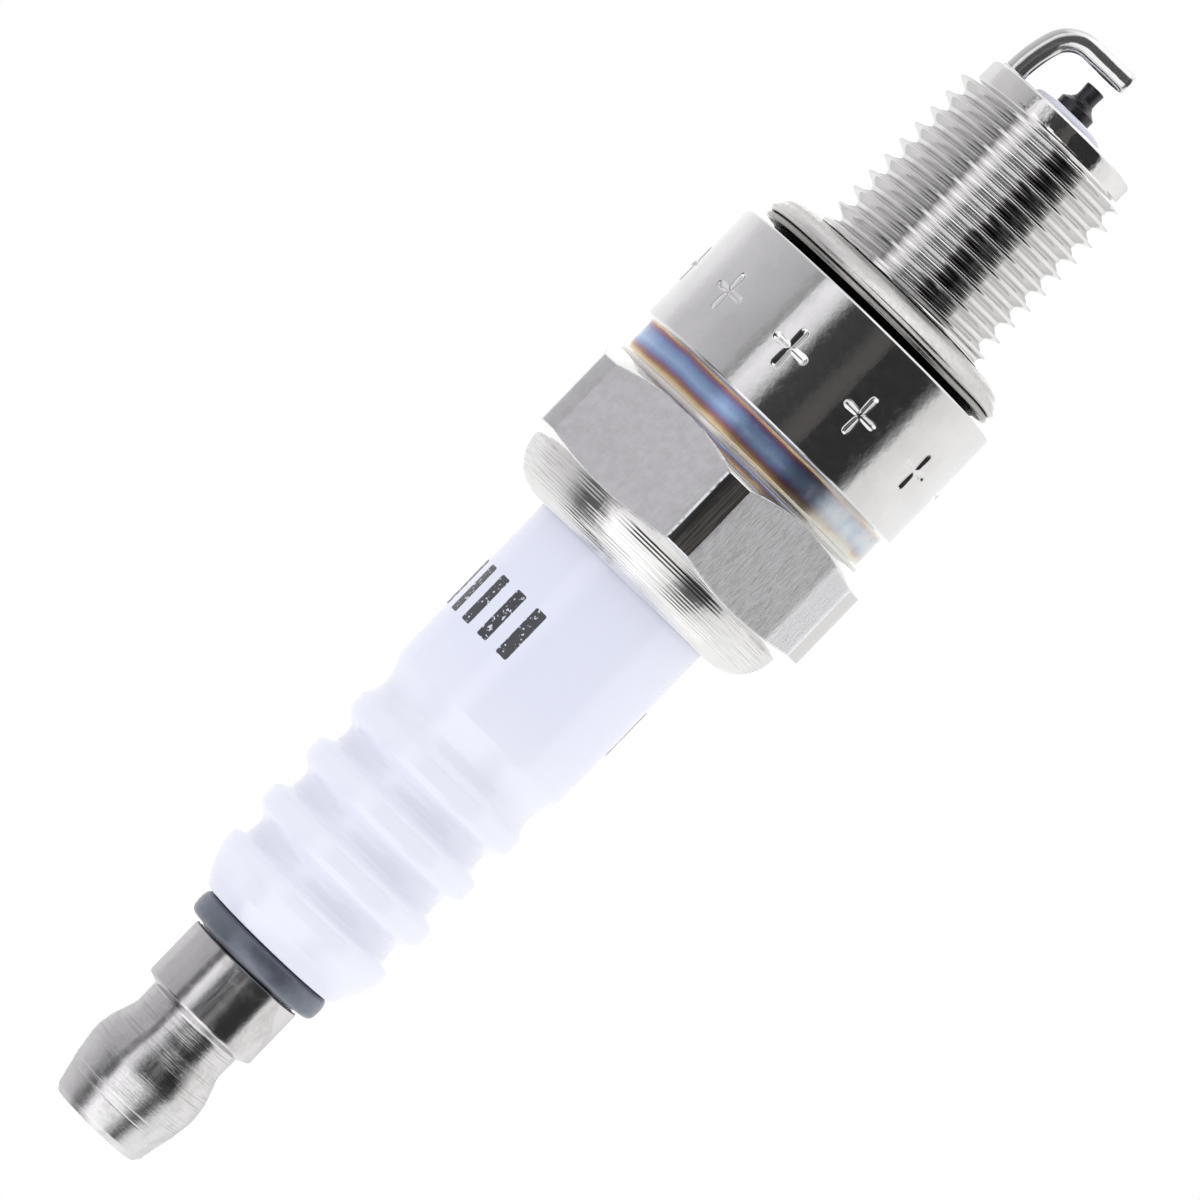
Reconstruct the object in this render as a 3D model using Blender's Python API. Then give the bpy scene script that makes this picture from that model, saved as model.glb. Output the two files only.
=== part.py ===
"""Motorcycle spark plug with an M10 x 1 thread, 12.7 mm reach and a 16 mm hexagon.

The plug's axis is Z. The origin is on the axis, in the plane of the shell's seat.
+Z points to the terminal and -Z to the spark gap, as the plug stands in an engine.
Every size is in millimetres; MM turns it into Blender's metres.
"""
import math

import bmesh
import bpy
from mathutils import Matrix, Vector

MM = 0.001
WELD = 1e-7                     # metres; joins the seam and the poles of a skin

# Driving dimensions
GAP = 0.06                      # clearance between neighbouring pieces
REACH = 12.7                    # seat to the rim of the threaded end
HEX_ACROSS_FLATS = 16.0
HEX_CORNER_RADIUS = 8.87        # the hexagon's corners are turned down to this
HEX_BOTTOM = 8.6
HEX_TOP = 13.95
HEX_TURN = -95.0                # degrees from +X to one corner
HEX_FOOT_RADIUS = 7.43          # the turned ring at the hexagon's foot
LOWER_BEVEL = 0.75              # heights of the bevels on the hexagon's corners
UPPER_BEVEL = 0.55
BARREL_RADIUS = 7.7
BARREL_TOP = 6.65
BARREL_EDGE = 0.25
GROOVE_RADIUS = 7.25
CRIMP_RADIUS = 7.55
CRIMP_CURL = (5.6, 14.17)       # centre of the curl, as radius and height
SHELL_BORE = 6.17
SHELL_WAIST_BORE = 3.65
NOSE_BORE = 3.1
LEDGE_BORE = 2.75
LEDGE_HEIGHT = -3.6
LEDGE_SLOPE = 0.55
WASHER_THICKNESS = 0.28
THREAD_PITCH = 1.0
THREAD_CREST = 4.925
THREAD_ROOT = 4.275
THREAD_BOTTOM = -11.9
THREAD_TOP = -1.8
THREAD_PHASE = -0.53            # height of a root at +X, modulo the pitch
MARK_COUNT = 11                 # plain crosses stamped round the barrel
MARK_TURN = -76.5
MARK_HEIGHT = 3.5
MARK_LENGTH = 2.25
MARK_WIDTH = 1.9
MARK_STROKE = 0.42
MARK_DEPTH = 0.22

LOWER_RING_HEIGHT = 10.25
UPPER_RING_HEIGHT = 13.95
TALC_BOTTOM = 10.82
TALC_TOP = 13.38

INSULATOR_RADIUS = 5.05
INSULATOR_BODY_RADIUS = 6.07
INSULATOR_WAIST_RADIUS = 3.57
INSULATOR_TOP = 39.1
INSULATOR_BORE = 1.95
RIB_CREST_RADIUS = 4.99
RIB_ROOT_RADIUS = 4.27
RIB_HEIGHTS = (28.28, 31.17, 34.07)    # the middles of the three ribs
NOSE_RADIUS = 2.0
NOSE_TIP = -13.2
ELECTRODE_BORE = 1.02

ELECTRODE_RADIUS = 0.95
ELECTRODE_TIP = -14.87
ELECTRODE_TIP_RADIUS = 0.51
ELECTRODE_HEAD = -1.05          # upper face of the electrode's head
CORE_RADIUS = 0.58

STUD_RADIUS = 1.75
STUD_FOOT = 3.4
FOOT_RADIUS = 1.4
GLASS_TOP = 7.9
COLLAR_RADIUS = 3.775
COLLAR_TOP = 40.4
STEP_RADIUS = 2.9               # the low step that the nut stands on
STUD_TOP = 49.7
STUD_PITCH = 0.7
STUD_CREST = 1.93
STUD_ROOT = 1.62
NUT_BOTTOM = 40.56
NUT_TOP = 50.5
NUT_BORE = 2.02

STRAP_THICKNESS = 1.16
STRAP_WIDTH = 2.2
STRAP_EDGE = 0.3
STRAP_BASE = 3.19               # distance of the strap's middle from the axis
STRAP_ARM = -15.97              # height of the middle of the arm
STRAP_END = -0.95

GASKET_TOP = -GAP
GASKET_BOTTOM = -1.82
GASKET_BORE = 5.02
GASKET_LIP = 4.6

GUIDE_LENGTH = 60.0             # longer than the shell
ROUND = 32                      # facets round a large turned piece
SMALL_ROUND = 24                # facets round a small one
STUD_ROUND = 16                 # facets round the stud and its fine thread


def clear_scene():
    for obj in list(bpy.data.objects):
        bpy.data.objects.remove(obj, do_unlink=True)


def material(name, colour, roughness, metallic=0.0):
    mat = bpy.data.materials.new(name)
    mat.use_nodes = True
    shader = mat.node_tree.nodes["Principled BSDF"]
    shader.inputs["Base Color"].default_value = (*colour, 1.0)
    shader.inputs["Roughness"].default_value = roughness
    shader.inputs["Metallic"].default_value = metallic
    return mat


def add_object(name, bm, mat, sharp_angle=30.0):
    """Close a bmesh into an object with outward faces and its own material."""
    bmesh.ops.recalc_face_normals(bm, faces=bm.faces)
    mesh = bpy.data.meshes.new(name)
    bm.to_mesh(mesh)
    bm.free()
    mesh.materials.append(mat)
    mesh.shade_smooth()
    mesh.set_sharp_from_angle(angle=math.radians(sharp_angle))
    obj = bpy.data.objects.new(name, mesh)
    bpy.context.scene.collection.objects.link(obj)
    return obj


def arc(centre, radius, start, end, count):
    """Points on an arc of an outline; 0 degrees points outward and 90 upward."""
    points = []
    for i in range(count):
        angle = math.radians(start + (end - start) * i / (count - 1))
        points.append((centre[0] + radius * math.cos(angle),
                       centre[1] + radius * math.sin(angle)))
    return points


def turned(name, outline, mat, facets=ROUND):
    """Spin an outline of (radius, height) points about Z into a solid.

    An outline that starts and ends on the axis stays open there. Any other one closes.
    """
    bm = bmesh.new()
    verts = [bm.verts.new((r * MM, 0.0, z * MM)) for r, z in outline]
    edges = [bm.edges.new(pair) for pair in zip(verts, verts[1:])]
    if outline[0][0] > 0.0:
        edges.append(bm.edges.new((verts[-1], verts[0])))
    bmesh.ops.spin(bm, geom=verts + edges, cent=(0.0, 0.0, 0.0), axis=(0.0, 0.0, 1.0),
                   dvec=(0.0, 0.0, 0.0), angle=2.0 * math.pi, steps=facets,
                   use_merge=True, use_duplicate=False)
    bmesh.ops.remove_doubles(bm, verts=bm.verts, dist=WELD)
    return add_object(name, bm, mat)


def thread_rows(bottom, top, pitch, root, crest, phase, facets):
    """Rows of a right-hand thread whose ridge rises out of the root at both ends.

    Each row follows the helix once round. The last column of a row meets the first
    column of the same row one pitch higher, so the rows close into one surface.
    """
    depth = crest - root
    flank = depth * math.tan(math.radians(30.0)) / pitch
    flat = (1.0 - 2.0 * flank) / 2.0
    profile = ((flat / 2.0, root), (flat / 2.0 + flank, crest),
               (1.0 - flat / 2.0 - flank, crest), (1.0 - flat / 2.0, root))
    base = phase + math.floor((bottom - phase) / pitch - 1.0) * pitch
    turns = math.ceil((top - base) / pitch) + 1
    rows = []
    for turn in range(turns):
        for offset, radius in profile:
            row = []
            for column in range(facets + 1):
                height = base + pitch * (turn + offset + column / facets)
                height = min(max(height, bottom), top)
                rise = min(1.0, (height - bottom) / pitch, (top - height) / pitch)
                row.append((root + (radius - root) * rise, height))
            rows.append(row)
    return rows


def skin(name, rows, mat, facets, closed):
    """Join rows of (radius, height) columns, bottom to top, into one closed surface."""
    bm = bmesh.new()
    grid = []
    for row in rows:
        if isinstance(row, tuple):
            row = [row] * (facets + 1)
        verts = []
        for column, (radius, height) in enumerate(row):
            angle = 2.0 * math.pi * column / facets
            verts.append(bm.verts.new((radius * math.cos(angle) * MM,
                                       radius * math.sin(angle) * MM, height * MM)))
        grid.append(verts)
    if closed:
        grid.append(grid[0])
    for lower, upper in zip(grid, grid[1:]):
        for column in range(facets):
            bm.faces.new((lower[column], lower[column + 1],
                          upper[column + 1], upper[column]))
    bmesh.ops.remove_doubles(bm, verts=bm.verts, dist=WELD)
    bmesh.ops.dissolve_degenerate(bm, edges=bm.edges, dist=WELD)
    return add_object(name, bm, mat)


def cut(obj, cutter, operation):
    """Apply a Boolean of obj with cutter, which stays as a guide."""
    cutter.hide_render = True
    cutter.display_type = "WIRE"
    modifier = obj.modifiers.new(cutter.name, "BOOLEAN")
    modifier.operation = operation
    modifier.solver = "EXACT"
    modifier.object = cutter


def hexagon_guide(mat):
    """A long hexagonal bar; the shell is cut down to it."""
    bm = bmesh.new()
    corner = HEX_ACROSS_FLATS / 2.0 / math.cos(math.pi / 6.0)
    bmesh.ops.create_cone(bm, segments=6, cap_ends=True, radius1=corner * MM,
                          radius2=corner * MM, depth=GUIDE_LENGTH * MM)
    first = max(bm.verts, key=lambda v: v.co.x + v.co.y * 0.01).co
    turn = math.radians(HEX_TURN) - math.atan2(first.y, first.x)
    bmesh.ops.rotate(bm, verts=bm.verts, matrix=Matrix.Rotation(turn, 3, "Z"))
    return add_object("hexagon_guide", bm, mat)


def cross_outline(length, width, stroke):
    """The twelve corners of a plain cross, centred on zero."""
    half, side, bar = length / 2.0, width / 2.0, stroke / 2.0
    return ((bar, bar), (bar, half), (-bar, half), (-bar, bar), (-side, bar), (-side, -bar),
            (-bar, -bar), (-bar, -half), (bar, -half), (bar, -bar), (side, -bar), (side, bar))


def mark_guide(mat):
    """The stamped crosses: each narrows from above the barrel's face to its floor."""
    bm = bmesh.new()
    stand_off = 0.3
    floor = 0.35                # size of the stroke's floor against its mouth
    for index in range(MARK_COUNT):
        turn = Matrix.Rotation(math.radians(MARK_TURN + 360.0 * index / MARK_COUNT), 4, "Z")
        rings = []
        for radius, inset in ((BARREL_RADIUS - MARK_DEPTH, floor),
                              (BARREL_RADIUS + stand_off, 1.0 + (1.0 - floor)
                               * stand_off / MARK_DEPTH)):
            shrink = MARK_STROKE * (1.0 - inset)
            outline = cross_outline(MARK_LENGTH - shrink, MARK_WIDTH - shrink,
                                    MARK_STROKE * inset)
            rings.append([bm.verts.new(turn @ (Vector((radius, y, z + MARK_HEIGHT)) * MM))
                          for y, z in outline])
        inner, outer = rings
        bm.faces.new(inner)
        bm.faces.new(outer)
        for i in range(len(inner)):
            j = (i + 1) % len(inner)
            bm.faces.new((inner[i], inner[j], outer[j], outer[i]))
    return add_object("mark_guide", bm, mat)


def make_shell(mat):
    """The plated steel shell: thread, seat, barrel, hexagon and the crimped lip."""
    rows = [(NOSE_BORE, -REACH + 0.1), (NOSE_BORE + 0.1, -REACH),
            (THREAD_ROOT - 0.22, -REACH), (THREAD_ROOT, -REACH + 0.25)]
    rows += thread_rows(THREAD_BOTTOM, THREAD_TOP, THREAD_PITCH, THREAD_ROOT,
                        THREAD_CREST, THREAD_PHASE, ROUND)
    rows += [(THREAD_ROOT, -0.15), (THREAD_ROOT + 0.15, 0.0),
             (BARREL_RADIUS - BARREL_EDGE, 0.0), (BARREL_RADIUS, BARREL_EDGE),
             (BARREL_RADIUS, BARREL_TOP - BARREL_EDGE),
             (BARREL_RADIUS - BARREL_EDGE, BARREL_TOP),
             (GROOVE_RADIUS, BARREL_TOP + 0.05), (GROOVE_RADIUS, HEX_BOTTOM - 0.25),
             (HEX_FOOT_RADIUS, HEX_BOTTOM - 0.2), (HEX_FOOT_RADIUS, HEX_BOTTOM - 0.04),
             (7.74, HEX_BOTTOM), (HEX_CORNER_RADIUS, HEX_BOTTOM + LOWER_BEVEL),
             (HEX_CORNER_RADIUS, HEX_TOP - UPPER_BEVEL), (CRIMP_RADIUS, HEX_TOP)]
    rows += arc(CRIMP_CURL, CRIMP_RADIUS - CRIMP_CURL[0], 0.0, 90.0, 7)
    lip = INSULATOR_RADIUS + GAP
    crimp_inner = SHELL_BORE - CRIMP_CURL[0]
    crimp_top = CRIMP_CURL[1] + CRIMP_RADIUS - CRIMP_CURL[0]
    rows += [(lip + 0.1, crimp_top), (lip, crimp_top - 0.12),
             (lip, CRIMP_CURL[1] + crimp_inner)]
    rows += arc(CRIMP_CURL, crimp_inner, 90.0, 0.0, 4)
    rows += [(SHELL_BORE, 3.2), (SHELL_WAIST_BORE, 1.6),
             (SHELL_WAIST_BORE, ledge_height(SHELL_WAIST_BORE)),
             (LEDGE_BORE, ledge_height(LEDGE_BORE)), (LEDGE_BORE, -4.6), (NOSE_BORE, -4.9)]
    shell = skin("shell", rows, mat, ROUND, closed=True)
    cut(shell, hexagon_guide(mat), "INTERSECT")
    cut(shell, mark_guide(mat), "DIFFERENCE")
    return shell


def ledge_height(radius):
    """Height of the shell's sloping inner ledge at a radius."""
    return LEDGE_HEIGHT + (radius - LEDGE_BORE) * LEDGE_SLOPE


def rib_outline():
    """The insulator's outside from the crimp to its top: three ribs and a round end.

    A shallow waist comes first, and each rib is a round swell between two grooves.
    """
    outline = [(INSULATOR_RADIUS, 25.2), (4.78, 26.1), (4.58, 26.8), (4.7, 27.45)]
    for height in RIB_HEIGHTS:
        outline += [(RIB_CREST_RADIUS, height - 0.42), (RIB_CREST_RADIUS, height + 0.42),
                    (4.82, height + 0.7), (4.42, height + 0.98),
                    (RIB_ROOT_RADIUS, height + 1.25), (RIB_ROOT_RADIUS, height + 1.75),
                    (4.45, height + 2.02), (4.82, height + 2.24)]
    outline += [(4.9, 36.55), (4.85, 37.2), (4.56, 38.1), (4.27, 38.65)]
    outline += arc((3.75, INSULATOR_TOP - 0.3), 0.3, 25.0, 90.0, 3)
    return outline


def make_insulator(mat):
    """The glazed alumina insulator, from the firing nose to the ribbed top."""
    shoulder = 2.0 * GAP + WASHER_THICKNESS
    low = LEDGE_BORE - 0.13
    outline = [(ELECTRODE_BORE, NOSE_TIP)]
    outline += arc((NOSE_RADIUS - 0.35, NOSE_TIP + 0.35), 0.35, -90.0, 0.0, 4)
    outline += [(low, -6.0), (low, ledge_height(low) + shoulder),
                (INSULATOR_WAIST_RADIUS, ledge_height(INSULATOR_WAIST_RADIUS) + shoulder),
                (INSULATOR_WAIST_RADIUS, 1.72), (INSULATOR_BODY_RADIUS, 3.32),
                (INSULATOR_BODY_RADIUS, 9.2), (INSULATOR_RADIUS, 9.75)]
    outline += rib_outline()
    outline += [(INSULATOR_BORE, INSULATOR_TOP), (INSULATOR_BORE, -1.5),
                (ELECTRODE_BORE, -2.04)]
    return turned("insulator", outline, mat)


def make_shoulder_washer(mat):
    """The soft steel washer between the shell's ledge and the insulator's shoulder."""
    inner, outer = LEDGE_BORE + 0.1, SHELL_WAIST_BORE - GAP
    low, high = GAP, GAP + WASHER_THICKNESS
    outline = [(inner, ledge_height(inner) + low), (outer, ledge_height(outer) + low),
               (outer, ledge_height(outer) + high), (inner, ledge_height(inner) + high)]
    return turned("shoulder_washer", outline, mat)


def make_wire_ring(name, height, mat):
    """A round wire ring that fills the space between insulator and shell."""
    middle = (INSULATOR_RADIUS + SHELL_BORE) / 2.0
    wire = (SHELL_BORE - INSULATOR_RADIUS) / 2.0 - GAP
    outline = arc((middle, height), wire, 0.0, 315.0, 8)
    return turned(name, outline, mat)


def make_talc(mat):
    """The ring of pressed talc between the two wire rings."""
    inner, outer = INSULATOR_RADIUS + GAP, SHELL_BORE - GAP
    outline = [(inner, TALC_BOTTOM), (outer, TALC_BOTTOM), (outer, TALC_TOP),
               (inner, TALC_TOP)]
    return turned("talc_packing", outline, mat)


def make_centre_electrode(mat):
    """The nickel centre electrode, a sheath that is open at its head."""
    bore = CORE_RADIUS + GAP
    outline = [(0.0, ELECTRODE_TIP), (ELECTRODE_TIP_RADIUS - 0.04, ELECTRODE_TIP),
               (ELECTRODE_TIP_RADIUS, ELECTRODE_TIP + 0.05), (0.48, -14.4), (0.49, -14.12),
               (0.62, -13.95), (ELECTRODE_RADIUS - 0.03, -13.68),
               (ELECTRODE_RADIUS, -13.6), (ELECTRODE_RADIUS, -1.97), (1.78, -1.42),
               (1.78, ELECTRODE_HEAD), (bore, ELECTRODE_HEAD), (bore, -13.05),
               (0.0, -13.05)]
    return turned("centre_electrode", outline, mat, SMALL_ROUND)


def make_copper_core(mat):
    """The copper core that carries heat up out of the centre electrode."""
    outline = [(0.0, -12.98), (CORE_RADIUS, -12.98), (CORE_RADIUS, ELECTRODE_HEAD),
               (0.0, ELECTRODE_HEAD)]
    return turned("electrode_copper_core", outline, mat, SMALL_ROUND)


def make_glass_seal(mat):
    """The conductive glass that joins the electrode's head to the stud's foot."""
    outer, cup = INSULATOR_BORE - GAP, FOOT_RADIUS + GAP
    outline = [(0.0, ELECTRODE_HEAD + GAP), (outer, ELECTRODE_HEAD + GAP),
               (outer, GLASS_TOP), (cup, GLASS_TOP), (cup, STUD_FOOT - GAP),
               (0.0, STUD_FOOT - GAP)]
    return turned("glass_seal", outline, mat, SMALL_ROUND)


def make_terminal_stud(mat):
    """The steel stud: ringed foot in the glass, shank, collar and M4 thread."""
    rows = [(0.0, STUD_FOOT), (FOOT_RADIUS - 0.15, STUD_FOOT),
            (FOOT_RADIUS, STUD_FOOT + 0.15)]
    for groove in range(3):
        height = STUD_FOOT + 0.8 + 1.1 * groove
        rows += [(FOOT_RADIUS, height), (FOOT_RADIUS - 0.2, height + 0.2),
                 (FOOT_RADIUS - 0.2, height + 0.4), (FOOT_RADIUS, height + 0.6)]
    rows += [(FOOT_RADIUS, GLASS_TOP + 0.3), (STUD_RADIUS, GLASS_TOP + 0.6),
             (STUD_RADIUS, INSULATOR_TOP + GAP)]
    middle = (INSULATOR_TOP + GAP + COLLAR_TOP) / 2.0
    edge = (COLLAR_TOP - INSULATOR_TOP - GAP) / 2.0
    rows += arc((COLLAR_RADIUS - edge, middle), edge, -90.0, 90.0, 7)
    rows += [(STEP_RADIUS, COLLAR_TOP), (STEP_RADIUS, NUT_BOTTOM - GAP),
             (STUD_ROOT, NUT_BOTTOM - GAP)]
    rows += thread_rows(NUT_BOTTOM, STUD_TOP - 0.25, STUD_PITCH, STUD_ROOT, STUD_CREST,
                        0.0, STUD_ROUND)
    rows += [(STUD_ROOT - 0.25, STUD_TOP), (0.0, STUD_TOP)]
    return skin("terminal_stud", rows, mat, STUD_ROUND, closed=False)


def make_terminal_nut(mat):
    """The screw-on terminal: a plain foot, a waist and a barrel-shaped head."""
    outline = [(3.02, NUT_BOTTOM), (3.14, NUT_BOTTOM + 0.12), (3.14, 43.6), (3.0, 43.74),
               (2.62, 43.9), (2.6, 44.3), (2.6, 45.0), (2.68, 45.4), (2.94, 46.2),
               (3.08, 46.75), (3.13, 47.2), (3.11, 47.7), (3.03, 48.3), (2.88, 49.0),
               (2.61, 50.1), (2.54, 50.38), (2.4, NUT_TOP), (NUT_BORE + 0.05, NUT_TOP),
               (NUT_BORE, NUT_TOP - 0.05), (NUT_BORE, NUT_BOTTOM + 0.25),
               (NUT_BORE + 0.25, NUT_BOTTOM)]
    return turned("terminal_nut", outline, mat)


def strap_path():
    """Stations of the strap's middle line, each with the direction it runs in.

    The leg leans in gently, then bends under the electrode's tip into a level arm.
    """
    lean, lean_radius = 18.0, 7.0
    foot = Vector((STRAP_BASE, -REACH - GAP))
    stations = []
    for i in range(4):
        angle = math.radians(lean * i / 3.0)
        offset = Vector((math.cos(angle) - 1.0, -math.sin(angle))) * lean_radius
        stations.append((foot + offset, angle))
    start, angle0 = stations[-1]
    bend = (start.y - STRAP_ARM) / (1.0 - math.sin(angle0))
    centre = start - Vector((math.cos(angle0), -math.sin(angle0))) * bend
    for i in range(1, 7):
        angle = angle0 + (math.pi / 2.0 - angle0) * i / 6.0
        stations.append((centre + Vector((math.cos(angle), -math.sin(angle))) * bend, angle))
    stations.append((Vector((STRAP_END + 0.12, STRAP_ARM)), math.pi / 2.0))
    return stations


def strap_section(edge_in):
    """Corners of the strap's rounded section as (across, along Y), drawn in by edge_in."""
    thick = STRAP_THICKNESS / 2.0 - STRAP_EDGE
    wide = STRAP_WIDTH / 2.0 - STRAP_EDGE
    points = []
    for corner, (side, end) in enumerate(((1, 1), (-1, 1), (-1, -1), (1, -1))):
        points += arc((side * thick, end * wide), STRAP_EDGE - edge_in,
                      90.0 * corner, 90.0 * corner + 90.0, 4)
    return points


def make_ground_electrode(mat):
    """The nickel ground strap that bends round the spark gap."""
    bm = bmesh.new()
    rings = []
    stations = [(*station, 0.0) for station in strap_path()]
    last, heading, _ = stations[-1]
    stations.append((last + Vector((-0.12, 0.0)), heading, 0.12))
    for middle, angle, edge_in in stations:
        outward = Vector((math.cos(angle), -math.sin(angle)))
        ring = []
        for across, along in strap_section(edge_in):
            place = middle + outward * across
            ring.append(bm.verts.new(Vector((place.x, along, place.y)) * MM))
        rings.append(ring)
    bm.faces.new(rings[0])
    bm.faces.new(rings[-1])
    for lower, upper in zip(rings, rings[1:]):
        for i in range(len(lower)):
            j = (i + 1) % len(lower)
            bm.faces.new((lower[i], lower[j], upper[j], upper[i]))
    return add_object("ground_electrode", bm, mat)


def make_gasket(mat):
    """The folded sheet-steel crush gasket: a domed front layer over a narrower back."""
    outline = [(GASKET_BORE, GASKET_BOTTOM + 0.1), (GASKET_BORE + 0.1, GASKET_BOTTOM),
               (5.85, GASKET_BOTTOM), (6.4, GASKET_BOTTOM + 0.2),
               (6.82, GASKET_BOTTOM + 0.58), (7.05, -0.92), (6.9, -0.75), (6.25, -0.74),
               (6.25, -0.68), (6.84, -0.68), (6.92, -0.58), (6.86, -0.42), (6.3, -0.36),
               (5.95, GASKET_TOP), (GASKET_LIP + 0.1, GASKET_TOP),
               (GASKET_LIP, GASKET_TOP - 0.1), (GASKET_LIP, -0.55), (GASKET_BORE, -0.75)]
    return turned("gasket", outline, mat)


def main():
    clear_scene()
    nickel_plate = material("nickel_plate", (0.66, 0.64, 0.61), 0.22, 1.0)
    make_shell(nickel_plate)
    make_insulator(material("glazed_alumina", (0.86, 0.87, 0.93), 0.08))
    make_shoulder_washer(material("soft_steel", (0.45, 0.44, 0.43), 0.4, 1.0))
    ring_steel = material("ring_steel", (0.42, 0.41, 0.4), 0.4, 1.0)
    make_wire_ring("lower_wire_ring", LOWER_RING_HEIGHT, ring_steel)
    make_wire_ring("upper_wire_ring", UPPER_RING_HEIGHT, ring_steel)
    make_talc(material("talc", (0.72, 0.71, 0.68), 0.9))
    make_centre_electrode(material("electrode_nickel", (0.09, 0.09, 0.11), 0.45, 1.0))
    make_copper_core(material("copper", (0.74, 0.36, 0.22), 0.35, 1.0))
    make_glass_seal(material("copper_glass", (0.16, 0.11, 0.09), 0.3))
    make_terminal_stud(material("oxidised_steel", (0.12, 0.14, 0.17), 0.4, 1.0))
    make_terminal_nut(material("terminal_plate", (0.68, 0.66, 0.64), 0.25, 1.0))
    make_ground_electrode(material("strap_nickel", (0.7, 0.69, 0.68), 0.15, 1.0))
    make_gasket(material("gasket_steel", (0.5, 0.49, 0.47), 0.45, 1.0))


main()
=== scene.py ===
"""The looks of the spark plug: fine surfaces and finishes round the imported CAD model.

The plug's axis is Z, with the seat at zero, the terminal at +Z and the spark gap at -Z.
Shapes are written in millimetres and turned into metres when a mesh is made.
"""

import math

import bmesh
import bpy
import numpy as np
from mathutils import Matrix, Vector


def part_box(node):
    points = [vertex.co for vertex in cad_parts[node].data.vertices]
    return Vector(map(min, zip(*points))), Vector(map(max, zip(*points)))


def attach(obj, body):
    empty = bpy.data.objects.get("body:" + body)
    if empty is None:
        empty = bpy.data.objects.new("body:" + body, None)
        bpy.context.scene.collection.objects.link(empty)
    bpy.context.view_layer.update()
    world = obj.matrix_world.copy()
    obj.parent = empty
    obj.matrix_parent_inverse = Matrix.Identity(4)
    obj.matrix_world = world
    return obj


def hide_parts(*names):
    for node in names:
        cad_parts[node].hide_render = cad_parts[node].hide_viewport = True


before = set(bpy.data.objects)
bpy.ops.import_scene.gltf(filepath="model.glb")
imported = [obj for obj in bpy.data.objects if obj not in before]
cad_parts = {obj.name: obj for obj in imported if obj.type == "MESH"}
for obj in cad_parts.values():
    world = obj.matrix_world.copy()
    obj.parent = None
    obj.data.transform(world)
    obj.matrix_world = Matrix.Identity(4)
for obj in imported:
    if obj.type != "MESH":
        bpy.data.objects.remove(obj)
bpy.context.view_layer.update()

MM = 0.001
TURN = 2.0 * math.pi
WELD = 1e-7                    # metres; closes the seam of a skin
SUPPORT = 0.05                 # a flat stretch keeps a point this near each fillet


def low(node):
    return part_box(node)[0] / MM


def high(node):
    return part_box(node)[1] / MM


# Heights and radii that the CAD model fixes, in millimetres
RIM = low("shell").z
NOSE_TIP = low("insulator").z
INSULATOR_TOP = high("insulator").z
BODY_RADIUS = high("insulator").x
ELECTRODE_TIP = low("centre_electrode").z
COLLAR_RADIUS = high("terminal_stud").x
STUD_TOP = high("terminal_stud").z
STUD_FOOT = low("terminal_stud").z
NUT_BOTTOM = low("terminal_nut").z
NUT_TOP = high("terminal_nut").z
GASKET_BOTTOM = low("gasket").z
GASKET_TOP = high("gasket").z
STRAP_WIDTH = high("ground_electrode").y - low("ground_electrode").y
STRAP_TIP = low("ground_electrode").x
STRAP_FOOT = high("ground_electrode").z
STRAP_THICKNESS = 1.16
STRAP_BASE = 3.19
STRAP_ARM = low("ground_electrode").z + STRAP_THICKNESS / 2.0

# Sizes of the shell's features
BARREL_RADIUS = 7.7
BARREL_TOP = 6.65
GROOVE_RADIUS = 7.25
HEX_BOTTOM = 8.6
HEX_TOP = 13.95
HEX_FLAT = 8.0                 # distance of a flat from the axis
HEX_CORNER_RADIUS = 8.87
HEX_TURN = math.radians(-95.0)
LOWER_BEVEL = 0.75             # heights of the bevels on the hexagon's corners
UPPER_BEVEL = 0.55
CRIMP_RADIUS = 7.55
CRIMP_CURL = (5.6, 14.17)      # centre of the curl, as radius and height
SHELL_BORE = 6.17
THREAD_ROOT = 4.275
THREAD_CREST = 4.925
THREAD_PITCH = 1.0
THREAD_PHASE = -0.53
THREAD_BOTTOM = -11.75
THREAD_TOP = -1.8
NOSE_BORE = 3.1
MARK_COUNT = 11
MARK_TURN = math.radians(-76.5)
MARK_HEIGHT = 3.5
INSULATOR_RADIUS = 5.05
RIB_MIDDLES = (28.28, 31.17, 34.07)


# ---- outlines and skins

def fillet(points, steps=4):
    """Round a polyline of (x, y, radius) corners into a list of (x, y) points.

    Long straight stretches get a point near each end, which keeps their shading flat.
    """
    corners = [np.array(p[:2], float) for p in points]
    result = [tuple(corners[0])]
    for i in range(1, len(points) - 1):
        before, here, after = corners[i - 1], corners[i], corners[i + 1]
        radius = points[i][2] if len(points[i]) > 2 else 0.0
        first, second = before - here, after - here
        len_a, len_b = np.linalg.norm(first), np.linalg.norm(second)
        first, second = first / len_a, second / len_b
        turn = math.pi - math.acos(float(np.clip(first @ second, -1.0, 1.0)))
        if radius <= 0.0 or turn < 0.02:
            result.append(tuple(here))
            continue
        reach = min(radius * math.tan(turn / 2.0), 0.45 * len_a, 0.45 * len_b)
        bend = reach / math.tan(turn / 2.0)
        middle = (first + second) / np.linalg.norm(first + second)
        centre = here + middle * math.hypot(reach, bend)
        start, end = here + first * reach, here + second * reach
        angle_a = math.atan2(*(start - centre)[::-1])
        sweep = math.atan2(*(end - centre)[::-1]) - angle_a
        sweep = (sweep + math.pi) % TURN - math.pi
        for k in range(steps + 1):
            angle = angle_a + sweep * k / steps
            result.append((centre[0] + bend * math.cos(angle),
                           centre[1] + bend * math.sin(angle)))
    result.append(tuple(corners[-1]))
    return supported(result)


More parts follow.
